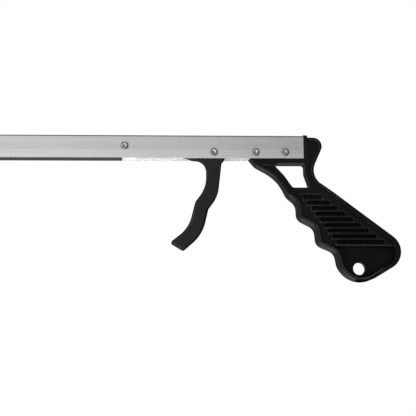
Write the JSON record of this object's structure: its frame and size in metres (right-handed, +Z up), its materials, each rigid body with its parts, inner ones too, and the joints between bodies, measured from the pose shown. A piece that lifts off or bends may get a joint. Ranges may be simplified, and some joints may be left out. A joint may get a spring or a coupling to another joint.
{
  "type": "reacher grabber",
  "caption": "Hand-held reacher with an aluminium channel shaft, moulded pistol grip, finger trigger, push rod and a two-finger gripping jaw at the far end.",
  "frame": {"origin": "trigger pivot axis, on the shaft's centre plane", "axes": "+X along the shaft from the jaws to the handle, +Z up away from the grip, Y across the shaft"},
  "size_m": [0.6573, 0.02, 0.1829],
  "materials": {
    "anodised_channel": "satin anodised, fine lengthwise grain",
    "black_moulding": "satin moulded plastic, fine texture",
    "rivet_steel": "zinc plated, worn bright",
    "plain_steel": "drawn wire, light oil",
    "spring_steel": "oiled spring steel",
    "block_plastic": "natural moulded plastic",
    "strip_plastic": "satin extruded plastic",
    "jaw_plastic": "satin moulded plastic, fine texture",
    "pad_rubber": "matt ribbed rubber",
    "magnet_plate": "nickel plated"
  },
  "bodies": {
    "frame": {"shaft_channel": "anodised_channel", "handle": "black_moulding", "handle_rivet_front": "rivet_steel", "handle_rivet_rear": "rivet_steel", "trigger_pivot_rivet": "rivet_steel", "trigger_pivot_bush": "plain_steel", "stop_rivet": "rivet_steel", "spring_stop": "block_plastic", "return_spring": "spring_steel", "rod_guide_rear": "block_plastic", "rod_guide_front": "block_plastic", "cover_strip": "strip_plastic", "fixed_jaw": "jaw_plastic", "fixed_jaw_rivet_front": "rivet_steel", "fixed_jaw_rivet_rear": "rivet_steel", "fixed_jaw_pad": "pad_rubber", "jaw_magnet": "magnet_plate", "jaw_pivot_rivet": "rivet_steel", "jaw_pivot_bush": "plain_steel"},
    "trigger_lever": {"trigger": "black_moulding"},
    "rod": {"push_rod": "plain_steel", "rod_clip_rear": "spring_steel", "rod_clip_front": "spring_steel", "rod_collar": "plain_steel"},
    "upper_jaw": {"moving_jaw": "jaw_plastic", "moving_jaw_pad": "pad_rubber"}
  },
  "joints": [
    {"name": "trigger_pivot", "type": "hinge", "parent": "frame", "child": "trigger_lever", "pos_m": [0, 0, 0], "axis": [0, -1, 0], "range_deg": [0, 36], "stiffness_Nm_per_rad": 0.05, "springref_deg": -22.92},
    {"name": "rod_slide", "type": "slide", "parent": "frame", "child": "rod", "axis": [-1, 0, 0], "range_m": [0, 0.0059], "deforming": ["return_spring"]},
    {"name": "jaw_pivot", "type": "hinge", "parent": "frame", "child": "upper_jaw", "pos_m": [-0.416, 0, 0.0035], "axis": [0, -1, 0], "range_deg": [0, 54.1]}
  ],
  "couplings": [
    {"joint": "rod_slide", "follows": "trigger_pivot", "m_per_rad": 0.0092469},
    {"joint": "jaw_pivot", "follows": "trigger_pivot", "ratio": 1.5}
  ]
}
